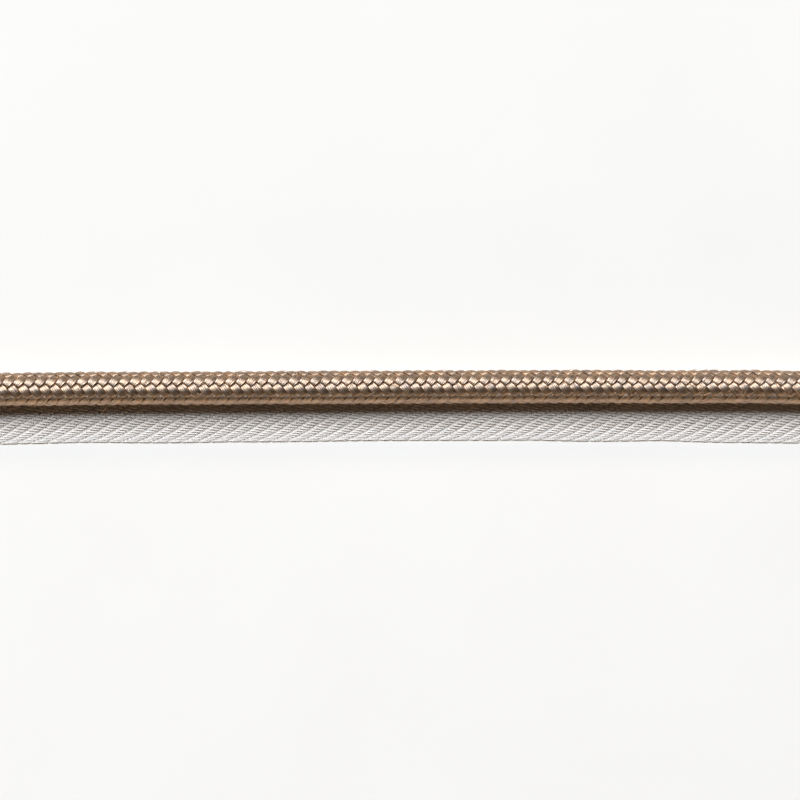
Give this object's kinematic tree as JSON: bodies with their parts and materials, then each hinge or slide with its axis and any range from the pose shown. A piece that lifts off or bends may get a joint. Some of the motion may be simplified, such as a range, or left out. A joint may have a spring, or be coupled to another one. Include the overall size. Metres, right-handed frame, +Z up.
{
  "type": "silk lip cord",
  "caption": "Straight cut length of lip cord: a round herringbone-braided silk cord lying along the flat woven tape by which it is sewn into a seam.",
  "frame": {"origin": "middle of the piece, on the surface that the tape's underside lies on", "axes": "+X along the cord, +Y across it from the tape's free edge towards the cord, +Z up from the tape's underside"},
  "size_m": [0.13, 0.0112, 0.0063],
  "materials": {
    "silk_braid": "lustrous champagne-beige silk, braided in a herringbone",
    "woven_tape": "matte grey-white cotton twill tape"
  },
  "bodies": {
    "root": {"braided_cord": "silk_braid", "lip_tape": "woven_tape"}
  },
  "joints": []
}
